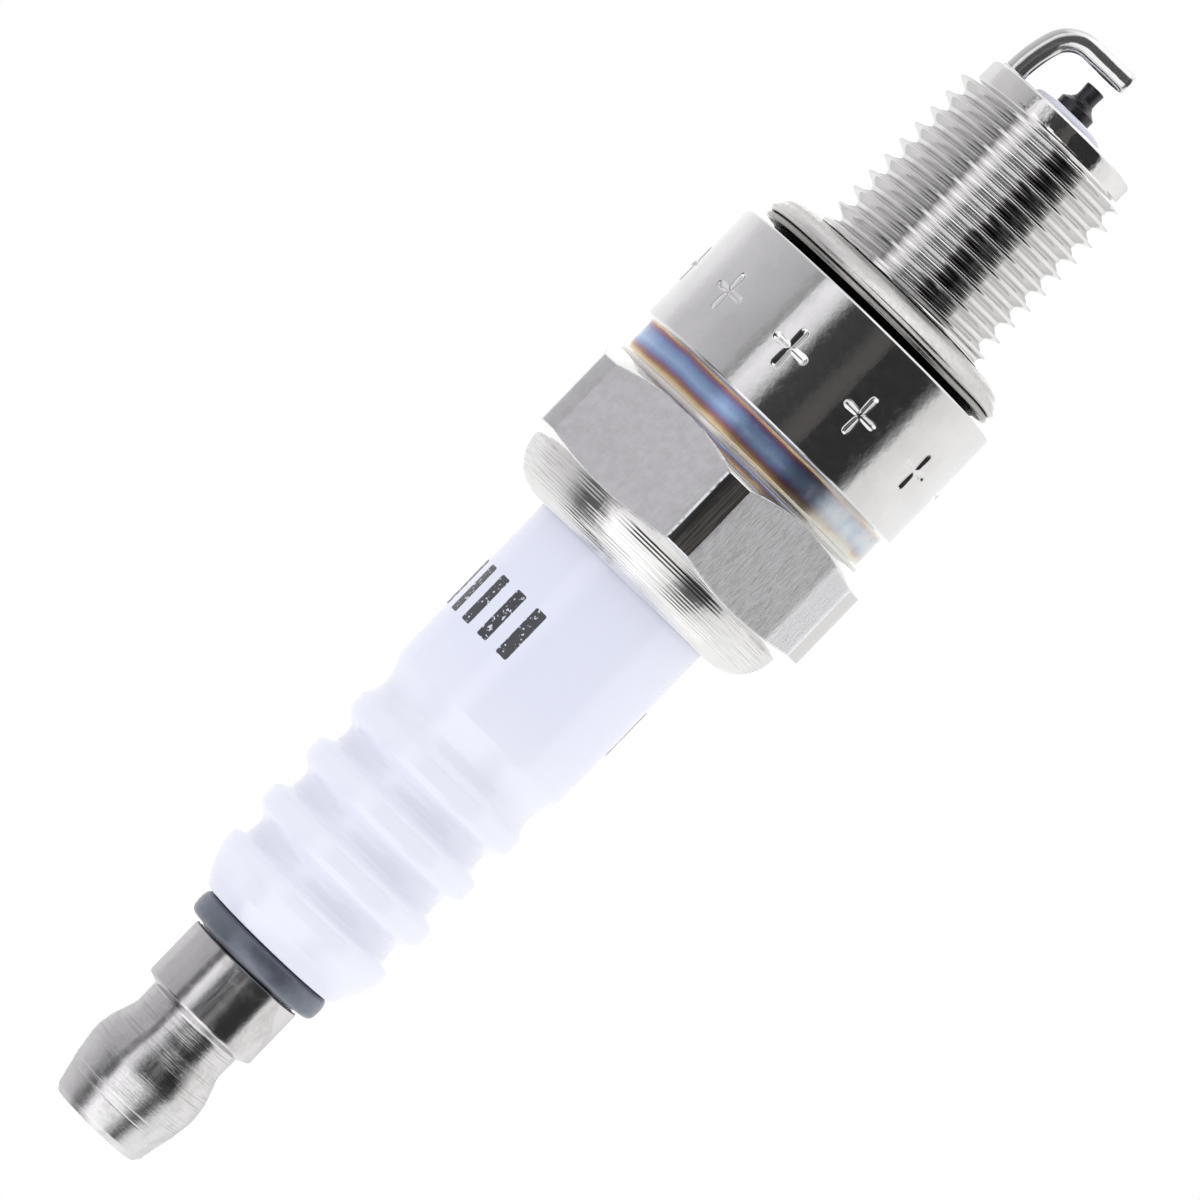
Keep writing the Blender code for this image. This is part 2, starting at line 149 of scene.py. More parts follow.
def supported(points):
    """Add a point near each end of every long stretch."""
    result = [points[0]]
    for a, b in zip(points, points[1:]):
        span = math.dist(a, b)
        if span > 5.0 * SUPPORT:
            for share in (SUPPORT / span, 1.0 - SUPPORT / span):
                result.append((a[0] + (b[0] - a[0]) * share, a[1] + (b[1] - a[1]) * share))
        result.append(b)
    return result


def arc(centre, radius, start, end, count):
    """Points of an arc; 0 degrees points outward and 90 upward."""
    angles = np.radians(np.linspace(start, end, count))
    return [(centre[0] + radius * math.cos(a), centre[1] + radius * math.sin(a))
            for a in angles]


def rows_of(outline, columns):
    """Level rows, one for each (radius, height) point of an outline."""
    return [(np.full(columns + 1, r), np.full(columns + 1, z)) for r, z in outline]


def thread_rows(bottom, top, pitch, root, crest, phase, columns, widths, rounds,
                run_outs=(1.0, 1.0)):
    """Rows that follow a right-hand helix.

    The widths and rounds are those of the root and the crest. The ridge or groove fades
    out over so many turns at the bottom and the top.
    """
    side = 1.0 if crest > root else -1.0
    depth = abs(crest - root)
    half = pitch / 2.0
    root_half, crest_half = widths[0] / 2.0, widths[1] / 2.0
    profile = fillet([(-half, depth), (crest_half - half, depth, rounds[1]),
                      (-root_half, 0.0, rounds[0]), (root_half, 0.0, rounds[0]),
                      (half - crest_half, depth, rounds[1]), (half, depth)], 4)[1:]
    base = phase + math.floor((bottom - phase) / pitch - 1.5) * pitch
    rows = []
    for turn in range(math.ceil((top - base) / pitch) + 2):
        for offset, rise in profile:
            heights = base + turn * pitch + offset + pitch * np.linspace(0.0, 1.0, columns + 1)
            heights = np.clip(heights, bottom, top)
            fade = np.minimum((heights - bottom) / (pitch * run_outs[0]),
                              (top - heights) / (pitch * run_outs[1]))
            rows.append((root + side * rise * np.clip(fade, 0.0, 1.0), heights))
    return rows


def make_object(name, verts, faces, sharp=40.0):
    """A welded, outward, smooth-shaded mesh object from points in millimetres."""
    mesh = bpy.data.meshes.new(name)
    mesh.from_pydata((np.asarray(verts) * MM).tolist(), [], faces)
    bm = bmesh.new()
    bm.from_mesh(mesh)
    bmesh.ops.remove_doubles(bm, verts=bm.verts, dist=WELD)
    bmesh.ops.dissolve_degenerate(bm, edges=bm.edges, dist=WELD)
    bmesh.ops.recalc_face_normals(bm, faces=bm.faces)
    bm.to_mesh(mesh)
    bm.free()
    mesh.shade_smooth()
    mesh.set_sharp_from_angle(angle=math.radians(sharp))
    obj = bpy.data.objects.new(name, mesh)
    bpy.context.scene.collection.objects.link(obj)
    return obj


def skin(name, rows, angles, closed=True, sharp=40.0):
    """Join rows of radii and heights round the axis into one surface."""
    if closed:
        rows = rows + [rows[0]]
    radii = np.array([r for r, _ in rows])
    heights = np.array([z for _, z in rows])
    verts = np.stack([radii * np.cos(angles), radii * np.sin(angles), heights], axis=-1)
    count, wide = radii.shape
    index = np.arange(count * wide).reshape(count, wide)
    faces = np.stack([index[:-1, :-1], index[:-1, 1:], index[1:, 1:], index[1:, :-1]], axis=-1)
    return make_object(name, verts.reshape(-1, 3), faces.reshape(-1, 4).tolist(), sharp)


def turned(name, outline, columns=160, closed=True):
    return skin(name, rows_of(outline, columns), round_angles(columns), closed)


def round_angles(columns):
    return np.linspace(0.0, TURN, columns + 1)


def ripple(angles, seed, terms=7, first=3):
    """A smooth, closed, repeatable unevenness round the axis, about -1 to 1."""
    rng = np.random.default_rng(seed)
    total = np.zeros_like(angles)
    for k in range(first, first + terms):
        total += rng.uniform(-1.0, 1.0) * np.sin(k * angles + rng.uniform(0.0, TURN))
    return total / math.sqrt(terms)


# ---- materials

class Nodes:
    """Short ways to add the nodes of one tree and to join them."""

    def node(self, kind, **settings):
        made = self.tree.nodes.new(kind)
        for key, value in settings.items():
            setattr(made, key, value)
        return made

    def feed(self, target, value):
        """Link an output to a socket, or set a plain value or an RGB colour on it."""
        if isinstance(value, bpy.types.NodeSocket):
            self.tree.links.new(value, target)
        elif target.type == "RGBA":
            target.default_value = (*value, 1.0)
        else:
            target.default_value = value

    def maths(self, operation, *values):
        made = self.node("ShaderNodeMath", operation=operation)
        for target, value in zip(made.inputs, values):
            self.feed(target, value)
        return made.outputs[0]

    def plus(self, first, second):
        return self.maths("ADD", first, second)

    def minus(self, first, second):
        return self.maths("SUBTRACT", first, second)

    def times(self, first, second):
        return self.maths("MULTIPLY", first, second)

    def apart(self, first, second):
        """How far two values are from each other."""
        return self.maths("ABSOLUTE", self.minus(first, second))

    def length(self, first, second):
        squares = self.plus(self.times(first, first), self.times(second, second))
        return self.maths("SQRT", squares)

    def span(self, value, low_in, high_in, low_out=0.0, high_out=1.0, kind="SMOOTHSTEP"):
        """Carry a value from one range to another, and hold it at both ends."""
        made = self.node("ShaderNodeMapRange", interpolation_type=kind)
        for target, number in zip(made.inputs, (value, low_in, high_in, low_out, high_out)):
            self.feed(target, number)
        return made.outputs[0]

    def ramp(self, value, stops):
        made = self.node("ShaderNodeValToRGB")
        elements = made.color_ramp.elements
        while len(elements) < len(stops):
            elements.new(1.0)
        for element, (at, colour) in zip(elements, stops):
            element.position = at
            element.color = (*colour, 1.0)
        self.feed(made.inputs[0], value)
        return made.outputs["Color"]

    def mix(self, share, first, second):
        made = self.node("ShaderNodeMix", data_type="RGBA")
        for index, value in ((0, share), (6, first), (7, second)):
            self.feed(made.inputs[index], value)
        return made.outputs[2]


class Look(Nodes):
    """A node material on a Principled shader, with coordinates in millimetres."""

    def __init__(self, name, metallic=0.0, **sockets):
        self.material = bpy.data.materials.new(name)
        self.material.use_nodes = True
        self.tree = self.material.node_tree
        self.shader = self.tree.nodes["Principled BSDF"]
        self.shader.inputs["Metallic"].default_value = metallic
        for socket, value in sockets.items():
            self.shader.inputs[socket.replace("_", " ")].default_value = value
        scaled = self.node("ShaderNodeVectorMath", operation="SCALE")
        scaled.inputs["Scale"].default_value = 1.0 / MM
        self.feed(scaled.inputs[0], self.node("ShaderNodeTexCoord").outputs["Object"])
        self.place = scaled.outputs["Vector"]

    def axis(self, letter):
        """One coordinate, in millimetres."""
        parts = self.node("ShaderNodeSeparateXYZ")
        self.feed(parts.inputs[0], self.place)
        return parts.outputs[letter]

    def around(self):
        """The angle round the axis, in radians."""
        return self.maths("ARCTAN2", self.axis("Y"), self.axis("X"))

    def radius(self):
        """The distance from the plug's axis, in millimetres."""
        return self.length(self.axis("X"), self.axis("Y"))

    def noise(self, scale, detail=3.0, roughness=0.5, stretch=(1.0, 1.0, 1.0), distortion=0.0,
              place=None):
        mapping = self.node("ShaderNodeMapping")
        mapping.inputs["Scale"].default_value = stretch
        self.feed(mapping.inputs["Vector"], self.place if place is None else place)
        made = self.node("ShaderNodeTexNoise")
        for socket, value in (("Scale", scale), ("Detail", detail), ("Roughness", roughness),
                              ("Distortion", distortion), ("Vector", mapping.outputs["Vector"])):
            self.feed(made.inputs[socket], value)
        return made.outputs["Fac"]

    def colour(self, value):
        self.feed(self.shader.inputs["Base Color"], value)

    def metal(self, value):
        self.feed(self.shader.inputs["Metallic"], value)

    def rough(self, value):
        self.feed(self.shader.inputs["Roughness"], value)

    def bump(self, *layers):
        """Stack (height, depth in millimetres) layers into one bump."""
        normal = None
        for height, depth in layers:
            made = self.node("ShaderNodeBump")
            made.inputs["Strength"].default_value = 1.0
            made.inputs["Distance"].default_value = depth * MM
            self.feed(made.inputs["Height"], height)
            if normal is not None:
                self.feed(made.inputs["Normal"], normal)
            normal = made.outputs["Normal"]
        self.feed(self.shader.inputs["Normal"], normal)


# Left and right below are as seen from the front with the spark gap up, so right is -X.
# Noise with a large stretch along Z makes lines round the axis.

def barrel_look():
    """Nickel plate: soft mottling, fine turning lines and duller clouds."""
    look = Look("barrel_nickel", metallic=1.0)
    tone, mottle = (0.78, 0.775, 0.775), 0.012
    clouds = look.span(look.noise(0.5, 4.0, 0.6), 0.35, 0.7)
    look.colour(look.mix(clouds, tone, [c * 0.93 for c in tone]))
    look.rough(look.span(look.noise(3.0, 5.0, 0.65), 0.35, 0.8, 0.07, 0.17))
    look.bump((look.noise(1.1, 2.0, 0.5), mottle), (look.noise(6.5, 3.0, 0.6), mottle * 0.24),
              (look.noise(1.0, 4.0, 0.6, stretch=(0.25, 0.25, 7.0)), 0.004))
    return look.material


def thread_look():
    """Bright plate, with a painted dark reflection along one side of its turns, and wavier on the
    plain rim.
    """
    look = Look("thread_nickel", Specular_Tint=(0.8, 0.8, 0.8, 1.0))
    x, height = look.axis("X"), look.axis("Z")
    turns = look.span(height, THREAD_BOTTOM + 0.05, THREAD_BOTTOM + 0.25)
    tone = look.mix(look.noise(1.5, 4.0), (0.88, 0.875, 0.87), (0.78, 0.775, 0.77))
    ragged = look.times(look.noise(1.0, 3.0, 0.6, stretch=(0.2, 0.2, 3.6)), 2.6)
    # Painted reflection: a ragged dark band, placed by X along one side of the turns, stands in
    # for a dark reflection; the crests stay bright.
    band = look.span(look.apart(look.plus(x, ragged), 0.35), 0.6, 0.25)
    below_crest = look.span(look.radius(), THREAD_CREST - 0.06, THREAD_CREST - 0.12, 0.0, 0.75)
    painted_shade = look.times(look.times(band, below_crest), turns)
    look.colour(look.mix(painted_shade, tone, (0.16, 0.15, 0.155)))
    look.rough(look.span(look.noise(4.0, 5.0, 0.7), 0.35, 0.8, 0.04, 0.16))
    haze = look.times(look.times(turns, 0.13), look.span(look.apart(x, 0.25), 0.9, 0.4))
    look.metal(look.minus(1.0, haze))
    wavy = look.span(height, THREAD_BOTTOM + 0.15, THREAD_BOTTOM - 0.15, 0.4, 4.5)
    look.bump((look.times(look.noise(0.9, 3.0, 0.5), wavy), 0.014),
              (look.noise(1.0, 2.0, 0.5, stretch=(0.3, 0.3, 9.0)), 0.0032))
    return look.material


def tint_look():
    """The shell's waist, blued by heat: bands of oxide colour across the groove."""
    look = Look("heat_tint")
    x = look.axis("X")
    look.metal(look.span(x, -1.0, -2.6, 0.6, 0.88))
    waver = look.times(look.minus(look.noise(0.3, 4.0, 0.6), 0.5), 0.36)
    across = look.span(look.plus(look.axis("Z"), waver), BARREL_TOP, HEX_BOTTOM, kind="LINEAR")
    steel, straw = (0.82, 0.79, 0.74), (0.8, 0.62, 0.36)
    orange, purple = (0.4, 0.2, 0.13), (0.26, 0.17, 0.3)
    blue, pale = (0.24, 0.33, 0.56), (0.36, 0.5, 0.72)
    banded = look.ramp(across, (
        (0.0, straw), (0.06, orange), (0.13, purple), (0.23, blue), (0.43, pale),
        (0.55, blue), (0.64, purple), (0.71, orange), (0.8, straw), (0.9, steel)))
    faded = look.times(look.span(x, -2.0, -5.0),
                       look.span(look.noise(0.6, 3.0), 0.3, 0.6, 0.45, 0.8))
    look.colour(look.mix(faded, banded, (0.7, 0.72, 0.69)))
    look.rough(look.span(look.noise(2.5, 4.0), 0.35, 0.75, 0.17, 0.3))
    look.bump((look.noise(1.0, 4.0, 0.6, stretch=(0.2, 0.2, 9.0)), 0.003),
              (look.noise(1.2, 2.0), 0.006))
    return look.material


def hexagon_look():
    """Cold-formed flats with an axial grain; the turned corners and bevels stay bright."""
    look = Look("hexagon_nickel")
    x, height, around = look.axis("X"), look.axis("Z"), look.around()
    sector = TURN / 6.0
    turn = look.maths("FLOORED_MODULO", look.minus(around, HEX_TURN), sector)
    off_flat = look.maths("COSINE", look.minus(turn, sector / 2.0))
    flat = look.span(look.times(look.radius(), off_flat), HEX_FLAT - 0.05, HEX_FLAT - 0.015)
    upper, lower = HEX_TOP - UPPER_BEVEL, HEX_BOTTOM + LOWER_BEVEL
    band = look.times(look.span(height, upper, upper - 0.06),
                      look.span(height, lower, lower + 0.06))

    # The flats: clouded, streaked on the right, and with painted highlights at both ends
    grain = look.noise(1.0, 4.0, 0.7, stretch=(15.0, 15.0, 1.5))
    cloud = look.span(look.noise(1.6, 5.0, 0.7), 0.3, 0.7)
    right = look.span(x, 1.5, -1.5)
    streaks = look.times(look.span(grain, 0.42, 0.66), look.span(right, 0.0, 1.0, 0.12, 0.8))
    # Painted highlights: the right end of the flats is painted bright and less metallic, and the
    # left end near-white, standing in for bright reflections.
    painted_highlight_right = look.times(look.span(x, -6.3, -6.7), flat)
    painted_highlight_left = look.span(x, 7.5, 7.62)
    tone = look.mix(cloud, (0.84, 0.83, 0.85), (0.74, 0.73, 0.745))
    tone = look.mix(streaks, tone, (0.52, 0.515, 0.52))
    tone = look.mix(look.times(painted_highlight_right, 0.8), tone, (0.92, 0.915, 0.91))
    tone = look.mix(painted_highlight_left, tone, (0.97, 0.97, 0.97))

    # The corner strips: lined in the middle, darker at the far right, matt at the left
    lines = look.span(look.noise(1.0, 3.0, 0.6, stretch=(9.0, 9.0, 0.4)), 0.4, 0.6)
    middle = look.times(band, look.span(look.maths("ABSOLUTE", x), 3.0, 2.0))
    edge = look.times(band, look.span(x, -7.4, -7.6))
    dull = look.times(look.span(look.apart(around, HEX_TURN + sector), 0.12, 0.1), band)
    strip = look.mix(edge, (0.79, 0.785, 0.78), (0.66, 0.655, 0.65))
    strip = look.mix(middle, strip, look.mix(lines, (0.72, 0.715, 0.71), (0.4, 0.39, 0.385)))
    strip = look.mix(dull, strip, look.mix(cloud, (0.64, 0.632, 0.648), (0.56, 0.553, 0.566)))

    # A thin burr where each strip meets the next flat, shown as a painted highlight: a bright
    # line that is less metallic
    burr_highlight = look.span(look.apart(turn, math.radians(4.5)), math.radians(0.55),
                     math.radians(0.25))
    burr_highlight = look.times(burr_highlight, look.times(band, look.span(look.noise(2.6, 4.0, 0.7), 0.4, 0.5)))
    look.colour(look.mix(burr_highlight, look.mix(flat, strip, tone), (0.93, 0.925, 0.93)))
    pale = look.maths("MAXIMUM", look.times(painted_highlight_right, 0.5), look.times(burr_highlight, 0.85))
    look.metal(look.minus(1.0, pale))

    matt = look.maths("MAXIMUM", look.minus(flat, look.times(painted_highlight_right, 0.7)), dull)
    look.rough(look.plus(look.times(matt, 0.34), 0.08))
    quiet = look.times(matt, look.minus(1.0, painted_highlight_left))
    cut = look.times(quiet, look.span(right, 0.0, 1.0, 0.3, 1.0))
    look.bump((look.times(grain, cut), 0.045),
              (look.times(look.noise(5.0, 5.0, 0.75), quiet), 0.026),
              (look.noise(1.0, 3.0, 0.6, stretch=(0.2, 0.2, 11.0)), 0.004))
    return look.material


def crimp_look():
    """The rolled lip: bright between the fine rings that the forming tool left."""
    look = Look("crimp_nickel", metallic=1.0, Specular_Tint=(0.85, 0.85, 0.85, 1.0))
    rise = look.minus(look.axis("Z"), CRIMP_CURL[1])
    curl = look.maths("ARCTAN2", rise, look.minus(look.radius(), CRIMP_CURL[0]))
    place = look.node("ShaderNodeCombineXYZ")
    look.feed(place.inputs[0], look.times(curl, 55.0))
    look.feed(place.inputs[1], look.times(look.around(), 2.5))
    rings = look.span(look.noise(1.0, 2.0, place=place.outputs[0]), 0.52, 0.66)
    dark = look.times(rings, look.span(curl, 0.5, 0.95, 0.5, 0.15))
    tone = look.mix(look.noise(1.2, 4.0), (0.86, 0.855, 0.85), (0.78, 0.775, 0.77))
    look.colour(look.mix(dark, tone, (0.3, 0.295, 0.29)))
    look.rough(look.span(look.noise(3.0, 5.0, 0.7), 0.35, 0.8, 0.06, 0.14))
    look.bump((look.noise(1.0, 3.0, 0.5, stretch=(1.5, 1.5, 1.0)), 0.011),
              (look.noise(6.0, 3.0, 0.6), 0.0016))
    return look.material


def ink_bars(look):
    """Where the print is: two groups of plain bars, on opposite sides of the insulator."""
    first_bar, pitch, bars = math.radians(-72.0), math.radians(15.5), 6
    half_width, half_length, corner, middle = 0.33, 1.36, 0.1, 21.0
    half_turn = math.pi
    last = (bars - 1) / 2.0
    turn = look.minus(look.around(), first_bar + pitch * last)
    turn = look.maths("FLOORED_MODULO", look.plus(turn, half_turn / 2.0), half_turn)
    step = look.maths("DIVIDE", look.plus(turn, -half_turn / 2.0), pitch)
    nearest = look.minus(look.maths("ROUND", look.plus(step, 0.5)), 0.5)
    nearest = look.maths("MAXIMUM", look.maths("MINIMUM", nearest, last), -last)
    across = look.times(look.minus(step, nearest), INSULATOR_RADIUS * pitch)
    side = look.minus(look.maths("ABSOLUTE", across), half_width - corner)
    end = look.minus(look.apart(look.axis("Z"), middle), half_length - corner)
    away = look.length(look.maths("MAXIMUM", side, 0.0), look.maths("MAXIMUM", end, 0.0))
    ragged = look.times(look.noise(6.0, 3.0), 0.04)
    return look.span(look.plus(away, ragged), corner, corner + 0.04, 1.0, 0.0)


def ceramic_look():
    """Glossy white glaze under the print, with painted shade in the grooves and towards the
    hexagon.
    """
    look = Look("glazed_alumina", Coat_Weight=0.35, Coat_Roughness=0.03, IOR=1.52)
    # Painted shade: darker in the grooves, less so at some angles round the axis, and darker
    # below the ribs towards the hexagon; the body's lilac-blue cast stands in for the cool tint
    # of the light.
    swell = look.maths("SINE", look.times(look.plus(look.around(), math.radians(72.0)), 2.0))
    groove_shade_thinning = look.times(look.minus(1.0, look.maths("ABSOLUTE", swell)), 0.5)
    out_of_groove_shade = look.span(look.plus(look.radius(), groove_shade_thinning), 4.3, 4.92)
    hex_shade_fade = look.span(look.axis("Z"), 22.0, 27.0)
    body = look.mix(hex_shade_fade, (0.87, 0.885, 0.99), (0.915, 0.925, 1.0))
    body = look.mix(out_of_groove_shade, (0.84, 0.845, 0.935), body)
    ink = look.times(ink_bars(look), look.span(look.noise(5.5, 2.0, 0.5), 0.6, 0.66, 1.0, 0.15))
    look.colour(look.mix(ink, body, (0.055, 0.058, 0.065)))
    look.rough(look.plus(look.times(ink, 0.35),
                         look.span(look.noise(0.8, 3.0), 0.3, 0.7, 0.07, 0.13)))
    look.bump((look.noise(0.7, 2.0), 0.012), (ink, 0.006))
    return look.material


def collar_look():
    """Blued steel, dark and slightly rough."""
    look = Look("blued_steel", metallic=0.65, IOR=1.8)
    look.colour(look.mix(look.noise(1.6, 4.0), (0.14, 0.16, 0.205), (0.22, 0.235, 0.27)))
    look.rough(look.span(look.noise(4.0, 5.0, 0.7), 0.3, 0.7, 0.3, 0.46))
    look.bump((look.noise(4.0, 4.0), 0.008))
    return look.material


def terminal_look():
    """Plated terminal with cloudy dull patches, a painted dark reflection, painted shade and
    light on its left side, and turning lines.
    """
    look = Look("terminal_nickel", Specular_Tint=(0.75, 0.745, 0.75, 1.0))
    x, height = look.axis("X"), look.axis("Z")
    waist = NUT_BOTTOM + 3.6
    clouds = look.span(look.noise(0.7, 5.0, 0.62, distortion=0.6), 0.45, 0.7)
    tone = look.mix(clouds, (0.75, 0.74, 0.745), (0.62, 0.61, 0.61))
    # Painted shade: the tone is darker towards the left side (+X).
    tone = look.mix(look.span(x, 0.9, 1.7, 0.0, 0.6), tone, (0.52, 0.51, 0.515))

    # Below the end's taper: a long dark streak of painted reflection, scuffed rings and a brushed
    # left side made greyer by less metal, as painted light
    body = look.minus(1.0, look.span(height, NUT_TOP - 2.2, NUT_TOP - 2.0))
    # Painted reflection: a long dark streak at one angle down the body, patchy along its length.
    reflection_streak = look.span(look.apart(look.around(), math.radians(-66.0)), 0.11, 0.02)
    patchy = look.span(look.noise(1.4, 3.0), 0.3, 0.55, 0.45, 0.85)
    tone = look.mix(look.times(look.times(reflection_streak, body), patchy), tone, (0.2, 0.195, 0.2))
    rings = look.span(look.noise(1.0, 2.0, 0.5, stretch=(0.35, 0.35, 12.0)), 0.56, 0.66)
    scuffed = look.times(look.times(rings, body),
                         look.span(height, waist - 0.2, waist, 0.0, 0.42))
    look.colour(look.mix(scuffed, tone, (0.36, 0.35, 0.355)))
    # Painted light: the left half of the body is made greyer by less metal, in brushed streaks.
    brushed = look.span(look.noise(1.0, 3.0, 0.6, stretch=(6.0, 6.0, 0.5)), 0.35, 0.65,
                        0.04, 0.17)
    look.metal(look.minus(1.0, look.times(look.times(body, brushed),
                                          look.span(x, -1.0, -0.2))))

    look.rough(look.span(clouds, 0.0, 1.0, 0.1, 0.24))
    lines = look.times(look.noise(1.0, 5.0, 0.7, stretch=(0.5, 0.5, 12.0)),
                       look.span(height, waist - 0.6, waist, 0.2, 1.0))
    look.bump((look.noise(1.0, 3.0, 0.55), 0.013), (lines, 0.014),
              (look.noise(7.0, 3.0, 0.6), 0.0015))
    return look.material


def gasket_look():
    """Grainy sheet steel, smoother on its rim, with painted shade inside the back fold and on the
    lower layer near the rim.
    """
    look = Look("gasket_steel", metallic=1.0, Specular_Tint=(0.85, 0.85, 0.84, 1.0))
    radius, height = look.radius(), look.axis("Z")
    # Painted shade: near-black inside the back fold, where the crevice lies in shadow, and darker
    # on the lower layer near the rim.
    inside = look.times(look.span(height, -0.44, -0.38), look.span(radius, 6.86, 6.8))
    lower_layer_shade = look.times(look.span(height, -0.8, -0.72), look.span(radius, 6.4, 6.6))
    rim = look.span(radius, 6.5, 6.8)
    steel = look.mix(look.noise(3.5, 5.0, 0.7), (0.79, 0.78, 0.77), (0.55, 0.54, 0.525))
    steel = look.mix(lower_layer_shade, steel, (0.4, 0.39, 0.375))
    look.colour(look.mix(inside, steel, (0.03, 0.03, 0.032)))
    look.rough(look.minus(look.span(look.noise(4.0, 4.0), 0.3, 0.7, 0.34, 0.52),
                          look.times(rim, 0.2)))
    face = look.minus(1.0, look.times(rim, 0.92))
    look.bump((look.times(look.noise(4.5, 5.0, 0.75), face), 0.025),
              (look.noise(1.0, 4.0, 0.7, stretch=(0.3, 0.3, 11.0)), 0.008))
    return look.material


def strap_look():
    """Smooth bright wire."""
    look = Look("strap_nickel", metallic=0.93)
    look.colour(look.mix(look.noise(1.5, 4.0), (0.84, 0.835, 0.83), (0.75, 0.745, 0.74)))
    look.rough(look.span(look.noise(5.0, 4.0, 0.7), 0.35, 0.8, 0.05, 0.13))
    look.bump((look.noise(1.6, 3.0, 0.5), 0.012), (look.noise(9.0, 3.0), 0.0008))
    return look.material


def electrode_look():
    """Nearly black nickel alloy with fine turning lines."""
    look = Look("electrode_nickel", metallic=0.85)
    look.colour(look.mix(look.noise(2.0, 4.0), (0.05, 0.046, 0.052), (0.1, 0.095, 0.105)))
    look.rough(look.span(look.noise(5.0, 5.0, 0.7), 0.3, 0.7, 0.26, 0.42))
    look.bump((look.noise(1.0, 4.0, 0.6, stretch=(0.5, 0.5, 12.0)), 0.004),
              (look.noise(8.0, 3.0, 0.6), 0.004))
    return look.material


def inner_look(name, first, second, roughness, metallic, grain):
    """A finish for the pieces inside: two mixed tones, a rough grain and fine bumps."""
    look = Look(name, metallic=metallic)
    speckle = look.noise(grain, 5.0, 0.7)
    look.colour(look.mix(look.span(speckle, 0.35, 0.65), first, second))
    look.rough(look.span(look.noise(grain * 2.0, 4.0), 0.3, 0.7, roughness, roughness + 0.15))
    look.bump((speckle, 0.02))
    return look.material


def dress(obj, material, body, slot_name, *replaced):
    """Give a piece its finish, its body and the nodes it stands for; slot_name is not used."""
    obj.data.materials.clear()
    obj.data.materials.append(material)
    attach(obj, body)
    if replaced:
        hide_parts(*replaced)
    return obj


# ---- the shell's outside

def soft_min(first, second, softness):
    """The smaller of two radii, with a rolled edge where they meet."""
    nearest = np.minimum(first, second)
    return nearest - softness * np.log(np.exp((nearest - first) / softness)
                                       + np.exp((nearest - second) / softness))


def spread(start, end, step):
    """Evenly spaced values from start to end, about a step apart."""
    return np.linspace(start, end, max(2, round(abs(end - start) / step) + 1))


def finer(rows, above, parts):
    """Split the gaps between the rows that reach above a height."""
    result = []
    for (r, z), (next_r, next_z) in zip(rows, rows[1:]):
        count = parts if z.max() > above else 1
        for share in np.arange(count) / count:
            result.append((r + (next_r - r) * share, z + (next_z - z) * share))
    return result + rows[-1:]


def last_turn(radii, heights):
    """Fill the thread out to a collar near its top, chamfered to let the gasket slide on."""
    chamfer_slope, softness = 1.74, 0.02
    full = np.clip((heights - THREAD_TOP + 0.7) / 0.5, 0.0, 1.0)
    filled = radii + (THREAD_CREST - 0.02 - radii) * full
    chamfer = THREAD_CREST + (THREAD_TOP - 0.15 - heights) * chamfer_slope
    return soft_min(filled, chamfer, softness)


def build_thread():
    """The threaded end: rim, pilot, thread and the plain neck under the seat."""
    columns = 160
    ledge = 2.75
    rows = rows_of(fillet([(ledge, -4.6), (NOSE_BORE, -4.9), (NOSE_BORE, RIM, 0.1),
                           (THREAD_ROOT, RIM, 0.2), (THREAD_ROOT, THREAD_BOTTOM)]), columns)
    rows += thread_rows(THREAD_BOTTOM, THREAD_TOP, THREAD_PITCH, THREAD_ROOT, THREAD_CREST,
                        THREAD_PHASE, columns, (0.22, 0.13), (0.2, 0.12), run_outs=(0.4, 0.01))
    rows = [(last_turn(r, z), z) for r, z in finer(rows, THREAD_TOP - 1.2, 4)]
    rows += rows_of(fillet([(THREAD_ROOT, THREAD_TOP), (THREAD_ROOT, -0.15, 0.2),
                            (THREAD_ROOT + 0.15, 0.0), (3.65, 0.0), (3.65, -3.105),
                            (ledge, -3.6), (ledge, -4.6)]), columns)
    return skin("shell_thread", rows[:-1], round_angles(columns))


def mark_depth(across, up):
    """Depth of a stamped mark: four boat-shaped grooves that meet in a cross."""
    depth = np.zeros_like(across)
    for along, beside, reach in ((up, across, 1.08), (across, up, 0.97)):
        share = np.clip(np.abs(along) / reach, 0.0, 1.0)
        round_end = np.sqrt(np.clip(1.0 - share ** 12, 0.0, 1.0))
        half = 0.23 * round_end * (0.4 + 0.6 * np.cbrt(share))
        groove = np.clip(1.0 - np.abs(beside) / np.maximum(half, 1e-3), 0.0, 1.0)
        depth = np.maximum(depth, np.minimum(groove * half * 0.68, 0.15))
    return depth


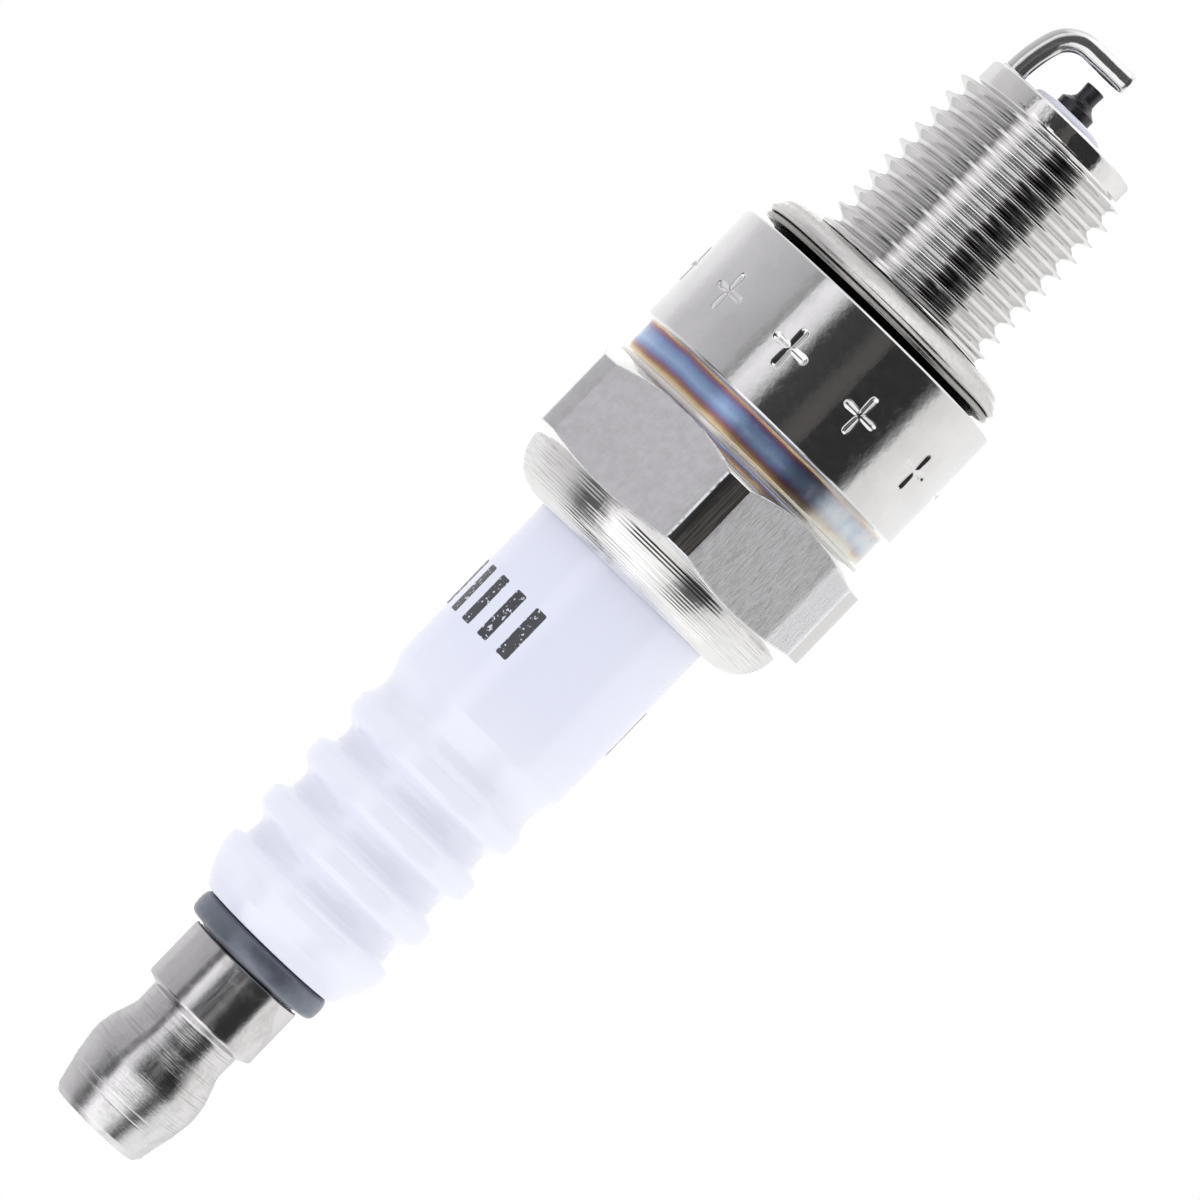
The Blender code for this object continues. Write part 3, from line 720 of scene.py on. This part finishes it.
def build_barrel():
    """The seat flange: a polished barrel with a ring of plain stamped crosses."""
    pitch = TURN / MARK_COUNT
    reach = 1.1 / BARREL_RADIUS
    inside = spread(-reach, reach, 0.055 / BARREL_RADIUS)
    between = spread(reach, pitch - reach, 0.5 / BARREL_RADIUS)[1:-1]
    cell = np.concatenate([inside, between])
    angles = np.concatenate([MARK_TURN + pitch * k + cell for k in range(MARK_COUNT)]
                            + [[MARK_TURN + TURN - reach]])
    lower = fillet([(3.65, 0.0), (7.62, 0.0, 0.08), (BARREL_RADIUS, 0.1, 0.1),
                    (BARREL_RADIUS, MARK_HEIGHT - 1.3)])
    face = [(BARREL_RADIUS, z) for z in spread(MARK_HEIGHT - 1.25, MARK_HEIGHT + 1.25, 0.055)]
    upper = fillet([(BARREL_RADIUS, MARK_HEIGHT + 1.3), (BARREL_RADIUS, BARREL_TOP - 0.14, 0.16),
                    (BARREL_RADIUS - 0.22, BARREL_TOP, 0.08), (SHELL_BORE, BARREL_TOP),
                    (SHELL_BORE, 3.2), (3.65, 1.6)])
    rows = []
    for r, z in lower + face + upper:
        radii = np.full(len(angles), r)
        if abs(z - MARK_HEIGHT) < 1.26 and r > BARREL_RADIUS - 0.001:
            nearest = np.round((angles - MARK_TURN) / pitch) * pitch + MARK_TURN
            across = (angles - nearest) * BARREL_RADIUS
            radii -= mark_depth(across, np.full_like(across, z - MARK_HEIGHT))
        rows.append((radii, np.full(len(angles), z)))
    return skin("shell_barrel", rows, angles, sharp=70.0)


def build_groove():
    """The thin waist between barrel and hexagon, with a turned ring at the hexagon's foot."""
    ring = 7.43
    outline = fillet([(SHELL_BORE, BARREL_TOP), (GROOVE_RADIUS + 0.1, BARREL_TOP),
                      (GROOVE_RADIUS, BARREL_TOP + 0.1, 0.08),
                      (GROOVE_RADIUS, HEX_BOTTOM - 0.3, 0.1),
                      (ring, HEX_BOTTOM - 0.2, 0.05), (ring, HEX_BOTTOM - 0.04, 0.04),
                      (ring - 0.04, HEX_BOTTOM), (SHELL_BORE, HEX_BOTTOM)])
    return turned("shell_groove", outline)


def build_hexagon():
    """The wrench hexagon: flats with rolled edges, turned corners and chamfers."""
    sector = TURN / 6.0
    corner = math.radians(8.0)
    cell = np.concatenate([spread(-corner, corner, math.radians(0.3)),
                           spread(corner, sector - corner, math.radians(1.6))[1:-1]])
    angles = np.concatenate([HEX_TURN + sector * k + cell for k in range(6)]
                            + [[HEX_TURN + TURN - corner]])
    off_flat = (angles - HEX_TURN) % sector - sector / 2.0
    flats = HEX_FLAT / np.cos(off_flat)
    ragged = 0.012 * ripple(angles, 3, terms=40, first=20) - 0.012
    bevels = ((7.74, HEX_BOTTOM), (HEX_CORNER_RADIUS, HEX_BOTTOM + LOWER_BEVEL),
              (HEX_CORNER_RADIUS, HEX_TOP - UPPER_BEVEL), (CRIMP_RADIUS, HEX_TOP))
    lower, upper = HEX_BOTTOM + LOWER_BEVEL + 0.1, HEX_TOP - UPPER_BEVEL - 0.1
    heights = np.concatenate([spread(HEX_BOTTOM, lower, 0.05),
                              spread(lower, upper, 0.5)[1:-1],
                              spread(upper, HEX_TOP, 0.04)])
    radii, levels = zip(*bevels)
    rows = rows_of([(SHELL_BORE, HEX_TOP), (SHELL_BORE, HEX_BOTTOM)], len(angles) - 1)
    for height in heights:
        limit = np.interp(height, levels, radii)
        roll = 0.1 * max(0.0, 1.0 - (height - HEX_BOTTOM) / 0.1) ** 2
        rows.append((soft_min(flats, limit + ragged, 0.024) - roll,
                     np.full_like(flats, height)))
    return skin("shell_hexagon", rows, angles, sharp=60.0)


def build_crimp():
    """The lip rolled over the insulator's shoulder, with the fine rings of the rolling."""
    outer, inner = CRIMP_RADIUS - CRIMP_CURL[0], SHELL_BORE - CRIMP_CURL[0]
    lip = INSULATOR_RADIUS + 0.06
    top = CRIMP_CURL[1] + outer
    count, sweep, ring_pitch = 170, 88.0, 0.15
    curl = np.array(arc((0.0, 0.0), outer, 0.0, sweep, count))
    curl *= [1.0, (top - HEX_TOP) / outer]
    along = outer * np.radians(np.linspace(0.0, sweep, count))
    height = 0.006 + 0.003 * np.sin(3.1 * along) * np.sin(7.7 * along + 1.0)
    curl *= 1.0 - (height * (1.0 + np.cos(TURN * along / ring_pitch)) / outer)[:, None]
    outline = [(SHELL_BORE, HEX_TOP)]
    outline += [(CRIMP_CURL[0] + x, HEX_TOP + y) for x, y in curl]
    outline += fillet([(CRIMP_CURL[0], top), (lip, top, 0.1), (lip, CRIMP_CURL[1] + inner)])
    outline += arc(CRIMP_CURL, inner, 90.0, 0.0, 8)
    return turned("shell_crimp", outline)


# ---- ceramic and electrodes

def rib_outline():
    """The insulator's ribs: round-shouldered swells between smooth grooves."""
    crest, floor = 4.99, 4.27
    outline = [(INSULATOR_RADIUS, 24.9), (5.03, 25.5, 1.2), (4.72, 26.25, 1.2),
               (4.56, 26.85, 1.5), (4.68, 27.4, 0.8), (crest, 27.82, 0.6)]
    for k, middle in enumerate(RIB_MIDDLES):
        outline += [(crest, middle + 0.55, 0.5), (floor, middle + 1.13, 0.5),
                    (floor, middle + 1.84, 0.45)]
        if k < len(RIB_MIDDLES) - 1:
            outline += [(crest, middle + 2.38, 0.5)]
    outline += [(4.92, 36.38, 0.5), (4.88, 37.2, 1.2), (4.58, 38.1, 1.2),
                (4.2, 38.75, 0.8), (3.98, INSULATOR_TOP, 0.2)]
    return outline


def build_insulator():
    ledge = 2.62
    slope = 0.55
    shoulder = -3.6 + (ledge - 2.75) * slope + 0.4
    outline = [(1.02, NOSE_TIP + 0.05), (1.07, NOSE_TIP), (2.0, NOSE_TIP, 0.35),
               (ledge, -6.0, 2.0), (ledge, shoulder, 0.2),
               (3.57, shoulder + (3.57 - ledge) * slope, 0.15), (3.57, 1.72, 0.4),
               (BODY_RADIUS, 3.32, 0.3), (BODY_RADIUS, 9.2, 0.3), (INSULATOR_RADIUS, 9.75, 0.3)]
    outline += rib_outline()
    outline += [(1.95, INSULATOR_TOP), (1.95, -1.5), (1.02, -2.04), (1.02, NOSE_TIP + 0.05)]
    return turned("insulator_fine", fillet(outline)[:-1], columns=128)


def build_electrode():
    """The centre electrode's sheath, necked down to its fine tip."""
    outline = fillet([(0.0, ELECTRODE_TIP), (0.51, ELECTRODE_TIP, 0.05), (0.48, -14.42, 0.2),
                      (0.49, -14.12, 0.12), (0.64, -13.92, 0.15), (0.95, -13.68, 0.06),
                      (0.95, -1.97), (1.78, -1.42), (1.78, -1.05), (0.64, -1.05),
                      (0.64, -13.05), (0.0, -13.05)])
    return turned("centre_electrode_fine", outline, columns=72, closed=False)


def build_stud():
    """The stud that the terminal screws on: shank, blued collar and fine thread."""
    columns = 96
    foot, shank = 1.4, 1.75
    outline = [(0.0, STUD_FOOT), (foot, STUD_FOOT, 0.12)]
    for groove in range(3):
        height = STUD_FOOT + 0.8 + 1.1 * groove
        outline += [(foot, height, 0.05), (foot - 0.2, height + 0.2, 0.05),
                    (foot - 0.2, height + 0.4, 0.05), (foot, height + 0.6, 0.05)]
    outline += [(foot, 8.2), (shank, 8.5), (shank, INSULATOR_TOP + 0.06)]
    middle = (INSULATOR_TOP + 0.06 + 40.4) / 2.0
    outline += [(COLLAR_RADIUS - 0.1, INSULATOR_TOP + 0.06, 0.35),
                (COLLAR_RADIUS, middle, 2.0), (COLLAR_RADIUS - 0.1, 40.4, 0.5),
                (2.9, 40.4, 0.03), (2.9, NUT_BOTTOM - 0.06), (1.62, NUT_BOTTOM - 0.06),
                (1.62, NUT_BOTTOM)]
    rows = rows_of(fillet(outline, 5), columns)
    rows += thread_rows(NUT_BOTTOM, STUD_TOP - 0.25, 0.7, 1.62, 1.93, 0.0, columns,
                        (0.22, 0.12), (0.06, 0.05))
    rows += rows_of(fillet([(1.62, STUD_TOP - 0.25), (1.37, STUD_TOP, 0.05),
                            (0.0, STUD_TOP)]), columns)
    return skin("terminal_stud_fine", rows, round_angles(columns), closed=False)


def build_nut():
    """The screw-on terminal, threaded right through: foot, waist and barrel-shaped head."""
    columns = 96
    bore = 2.02
    outer = [(bore + 0.25, NUT_BOTTOM), (3.14, NUT_BOTTOM, 0.12), (3.14, 43.68, 0.16),
             (2.56, 43.95, 0.14), (2.56, 45.15, 1.5), (3.0, 46.35, 2.5), (3.13, 47.2, 7.0),
             (2.95, 48.62), (2.91, 48.67), (2.9, 48.72), (2.9, 48.78),
             (2.84, 49.05), (2.8, 49.09), (2.8, 49.14), (2.58, 50.2, 0.25),
             (2.36, NUT_TOP, 0.1),
             (bore + 0.14, NUT_TOP), (bore, NUT_TOP - 0.14), (bore, NUT_TOP - 0.2)]
    inside = thread_rows(NUT_BOTTOM + 0.3, NUT_TOP - 0.25, 0.7, bore, bore + 0.2, 0.0, columns,
                         (0.22, 0.12), (0.04, 0.04))
    rows = rows_of(fillet(outer, 5), columns) + inside[::-1]
    return skin("terminal_nut_fine", rows, round_angles(columns))


def strap_path(step):
    """Points (x, z) and headings of the strap's middle line, from the rim to its end."""
    lean, lean_radius = math.radians(18.0), 7.0
    foot = np.array([STRAP_BASE, STRAP_FOOT])
    stations = []
    for angle in spread(0.0, lean, step / lean_radius):
        offset = np.array([math.cos(angle) - 1.0, -math.sin(angle)]) * lean_radius
        stations.append((foot + offset, angle))
    start, _ = stations[-1]
    bend = (start[1] - STRAP_ARM) / (1.0 - math.sin(lean))
    centre = start - np.array([math.cos(lean), -math.sin(lean)]) * bend
    for angle in spread(lean, math.pi / 2.0, step / bend)[1:]:
        offset = np.array([math.cos(angle), -math.sin(angle)]) * bend
        stations.append((centre + offset, angle))
    last = stations[-1][0]
    for x in spread(last[0], STRAP_TIP, step)[1:]:
        stations.append((np.array([x, STRAP_ARM]), math.pi / 2.0))
    return stations


def strap_section():
    """The flat wire's section as (across, along Y) points: its narrow sides are round."""
    thick, wide, crown = STRAP_THICKNESS / 2.0, STRAP_WIDTH / 2.0, 0.42
    side = [(thick * math.cos(a), wide - crown + crown * math.sin(a))
            for a in np.linspace(0.0, math.pi, 19)]
    return side + [(-x, -y) for x, y in side]


def build_strap():
    """The ground strap: a flat wire with round edges, sheared off at its end."""
    section = strap_section()
    stations = strap_path(0.1)
    last = len(stations) - 1
    trims = {0: 0.1, last: 0.16, last - 1: 0.05}
    verts, faces = [], []
    for k, (middle, angle) in enumerate(stations):
        outward = np.array([math.cos(angle), -math.sin(angle)])
        trim = trims.get(k, 0.0)
        for across, along in section:
            place = middle + outward * across * (1.0 - trim)
            verts.append((place[0], along * (1.0 - trim / 2.0), place[1]))
    size = len(section)
    for k in range(last):
        for i in range(size):
            j = (i + 1) % size
            faces.append((k * size + i, k * size + j, (k + 1) * size + j, (k + 1) * size + i))
    faces.append(tuple(range(size)))
    faces.append(tuple(range(len(verts) - size, len(verts))))
    return make_object("ground_strap", verts, faces, sharp=50.0)


def build_weld():
    """The flash squeezed out round the strap's foot where it is welded to the rim."""
    section = np.array(strap_section())
    outward = section / np.linalg.norm(section, axis=1, keepdims=True)
    swell = 1.0 + 0.35 * ripple(np.arctan2(section[:, 1], section[:, 0]), 5)
    verts, faces = [], []
    profile = ((-0.12, 0.0), (0.1, 0.0), (0.14, -0.05), (0.1, -0.13), (0.0, -0.19),
               (-0.12, -0.2))
    for grow, drop in profile:
        ring = section + outward * grow * (swell[:, None] if grow > 0 else 1.0)
        verts += [(STRAP_BASE + x, y, RIM + drop) for x, y in ring]
    size, levels = len(section), len(profile)
    for k in range(levels):
        for i in range(size):
            j, n = (i + 1) % size, (k + 1) % levels
            faces.append((k * size + i, k * size + j, n * size + j, n * size + i))
    return make_object("strap_weld", verts, faces, sharp=60.0)


def build_gasket():
    """The crush gasket: sheet steel folded over, a little uneven all round."""
    columns = 192
    angles = round_angles(columns)
    outline = fillet([(5.02, GASKET_BOTTOM, 0.12), (5.82, GASKET_BOTTOM, 0.3),
                      (6.42, GASKET_BOTTOM + 0.2, 0.6), (6.84, GASKET_BOTTOM + 0.58, 0.5),
                      (7.04, -0.93, 0.12), (6.9, -0.73, 0.08), (6.25, -0.73, 0.03),
                      (6.25, -0.68, 0.03), (6.84, -0.68, 0.06), (6.92, -0.56, 0.06),
                      (6.86, -0.4, 0.06), (6.3, -0.34, 0.2), (5.95, GASKET_TOP, 0.1),
                      (4.62, GASKET_TOP, 0.06), (4.62, -0.55, 0.08), (5.02, -0.78, 0.08),
                      (5.02, GASKET_BOTTOM, 0.12)])[:-1]
    rows = []
    for r, z in outline:
        loose = np.clip((r - 5.9) / 1.0, 0.0, 1.0)
        radii = r - loose * 0.025 * (ripple(angles, 11) + 1.0).clip(0.0, 2.0)
        rows.append((radii, z - loose * 0.03 * ripple(angles, 12, terms=9, first=2)))
    return skin("crush_gasket", rows, angles, sharp=45.0)


# ---- putting the plug together

dress(build_thread(), thread_look(), "plug_body", "nickel_plate", "shell")
dress(build_barrel(), barrel_look(), "plug_body", "nickel_plate", "shell")
dress(build_groove(), tint_look(), "plug_body", "nickel_plate", "shell")
dress(build_hexagon(), hexagon_look(), "plug_body", "nickel_plate", "shell")
dress(build_crimp(), crimp_look(), "plug_body", "nickel_plate", "shell")
dress(build_insulator(), ceramic_look(), "plug_body", "glazed_alumina", "insulator")
dress(build_electrode(), electrode_look(), "plug_body", "electrode_nickel",
      "centre_electrode")
dress(build_stud(), collar_look(), "plug_body", "oxidised_steel", "terminal_stud")
dress(build_nut(), terminal_look(), "terminal", "terminal_plate", "terminal_nut")
dress(build_strap(), strap_look(), "plug_body", "strap_nickel", "ground_electrode")
dress(build_weld(), strap_look(), "plug_body", "strap_nickel")
dress(build_gasket(), gasket_look(), "gasket_ring", "gasket_steel", "gasket")

inner_looks = {
    "soft_steel": inner_look("soft_steel", (0.5, 0.49, 0.47), (0.34, 0.33, 0.32), 0.35, 1.0, 3.0),
    "talc": inner_look("pressed_talc", (0.74, 0.73, 0.7), (0.6, 0.59, 0.56), 0.8, 0.0, 5.0),
    "copper": inner_look("copper", (0.76, 0.37, 0.23), (0.6, 0.27, 0.16), 0.3, 1.0, 2.5),
    "copper_glass": inner_look("copper_glass", (0.2, 0.12, 0.09), (0.09, 0.07, 0.07), 0.25,
                               0.0, 4.0),
}
inner_slots = {
    "shoulder_washer": "soft_steel", "lower_wire_ring": "soft_steel",
    "upper_wire_ring": "soft_steel", "talc_packing": "talc",
    "electrode_copper_core": "copper", "glass_seal": "copper_glass",
}
for node, slot_name in inner_slots.items():
    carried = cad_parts[node]
    carried.data.materials.clear()
    carried.data.materials.append(inner_looks[slot_name])


# ---- studio and camera

def add_floor():
    """A round pale tabletop, well below the plug."""
    radius, drop = 0.3, 0.06
    bm = bmesh.new()
    bmesh.ops.create_circle(bm, cap_ends=True, segments=96, radius=radius,
                            matrix=Matrix.Translation((0.0, 0.0, -drop)))
    mesh = bpy.data.meshes.new("floor")
    bm.to_mesh(mesh)
    bm.free()
    floor = bpy.data.objects.new("floor", mesh)
    bpy.context.scene.collection.objects.link(floor)
    look = Look("pale_floor", Roughness=0.7)
    look.colour(look.mix(look.noise(0.02, 2.0), (0.86, 0.86, 0.86), (0.9, 0.9, 0.9)))
    floor.data.materials.append(look.material)
    floor.visible_glossy = False


class Studio(Nodes):
    """The world: a white sweep, with soft boxes and black cards all round the plug."""

    def __init__(self):
        world = bpy.data.worlds.new("studio")
        bpy.context.scene.world = world
        world.use_nodes = True
        self.tree = world.node_tree
        self.tree.nodes.clear()

    def compass(self, turn, *stops):
        """Brightness, and a tint where one is given, against an azimuth in degrees."""
        share = self.maths("DIVIDE", self.minus(turn, -180.0), 360.0)
        return self.ramp(share, [((at + 180.0) / 360.0, grey(*light)) for at, *light in stops])

    def plain(self, colour):
        made = self.node("ShaderNodeBackground")
        self.feed(made.inputs["Color"], colour)
        return made.outputs[0]

    def choose(self, share, first, second):
        made = self.node("ShaderNodeMixShader")
        for target, value in zip(made.inputs, (share, first, second)):
            self.feed(target, value)
        return made.outputs[0]


def grey(value, tint=(1.0, 1.0, 1.0)):
    return tuple(value * c for c in tint)


def add_studio():
    """Light by azimuth in degrees: 0 is the camera's side and 90 is -X.

    Level directions hold tall cards, and the directions above and below are softer.
    """
    studio = Studio()
    parts = studio.node("ShaderNodeSeparateXYZ")
    studio.feed(parts.inputs[0], studio.node("ShaderNodeTexCoord").outputs["Generated"])
    x, y, z = parts.outputs
    turn = studio.maths("DEGREES", studio.maths("ARCTAN2", studio.times(x, -1.0),
                                                studio.times(y, -1.0)))
    rise = studio.maths("DEGREES", studio.maths("ARCSINE", z))
    lilac, cream, warm = (0.99, 0.975, 1.0), (1.0, 0.99, 0.98), (1.0, 0.92, 0.9)
    level = studio.compass(
        turn, (-180.0, 2.2), (-170.0, 1.8), (-160.0, 1.12), (-144.0, 1.05),
        (-126.0, 0.95, lilac), (-114.0, 0.72, lilac), (-80.0, 0.62, lilac),
        (-53.0, 0.5, lilac), (-47.0, 0.3), (-43.0, 0.8, lilac), (-36.0, 1.05, lilac),
        (-27.0, 0.88, lilac), (-21.0, 0.5), (-16.0, 0.06), (2.0, 0.045), (8.0, 0.09, warm),
        (18.0, 0.1, warm), (22.0, 0.03), (61.0, 0.03), (68.0, 0.3), (72.0, 0.85, cream),
        (100.0, 1.0, cream), (158.0, 1.06), (170.0, 1.6), (180.0, 2.2))
    rising = studio.compass(
        turn, (-180.0, 1.2), (-128.0, 0.95), (-112.0, 0.85, lilac), (-86.0, 0.7, lilac),
        (-76.0, 0.4), (-66.0, 0.12), (-50.0, 0.14), (-42.0, 0.8, lilac),
        (-34.0, 1.35, lilac), (0.0, 1.15), (13.0, 1.1), (26.0, 0.85), (34.0, 0.26),
        (40.0, 0.12), (54.0, 0.14), (62.0, 0.7), (76.0, 0.95), (180.0, 1.2))
    upper = studio.compass(
        turn, (-180.0, 1.4), (-152.0, 1.2), (-126.0, 0.85), (-108.0, 0.36), (-98.0, 0.08),
        (-82.0, 0.06), (-74.0, 1.3, lilac), (-40.0, 1.3), (24.0, 1.3), (50.0, 1.05),
        (70.0, 0.95), (180.0, 1.4))
    lower = studio.compass(turn, (-180.0, 1.2), (-90.0, 0.85, lilac), (-30.0, 1.25),
                           (20.0, 1.3), (90.0, 1.15), (180.0, 1.2))
    mirrored = level
    for colour, start, end in ((rising, 8.0, 12.0), (upper, 42.0, 52.0),
                               (lower, -38.0, -52.0)):
        mirrored = studio.mix(studio.span(rise, start, end), mirrored, colour)
    behind = (1.02, 1.03, 1.06)
    wrap = studio.compass(turn, (-180.0, 1.0, behind), (-90.0, 1.0, (0.92, 0.935, 1.0)),
                          (0.0, 1.0, (0.95, 0.962, 1.02)),
                          (90.0, 1.0, (1.02, 1.025, 1.04)), (180.0, 1.0, behind))
    path = studio.node("ShaderNodeLightPath").outputs
    lit = studio.choose(path["Is Glossy Ray"], studio.plain(wrap), studio.plain(mirrored))
    final = studio.choose(path["Is Camera Ray"], lit, studio.plain((1.0, 1.0, 1.0)))
    studio.feed(studio.node("ShaderNodeOutputWorld").inputs["Surface"], final)


def add_camera():
    """Level with the plug and square to its axis, rolled so that it lies across the view."""
    roll = math.radians(45.96)
    side, distance, height = 0.00008, 0.386, 0.01745
    right = Vector((-math.sin(roll), 0.0, -math.cos(roll)))
    up = Vector((math.cos(roll), 0.0, -math.sin(roll)))
    back = Vector((0.0, -1.0, 0.0))
    data = bpy.data.cameras.new("camera")
    data.lens = 255.0
    data.clip_start = 0.01
    camera = bpy.data.objects.new("camera", data)
    turn = Matrix((right, up, back)).transposed().to_4x4()
    camera.matrix_world = Matrix.Translation((side, -distance, height)) @ turn
    bpy.context.scene.collection.objects.link(camera)
    bpy.context.scene.camera = camera
    bpy.context.scene.view_settings.view_transform = "Standard"


add_floor()
add_studio()
add_camera()
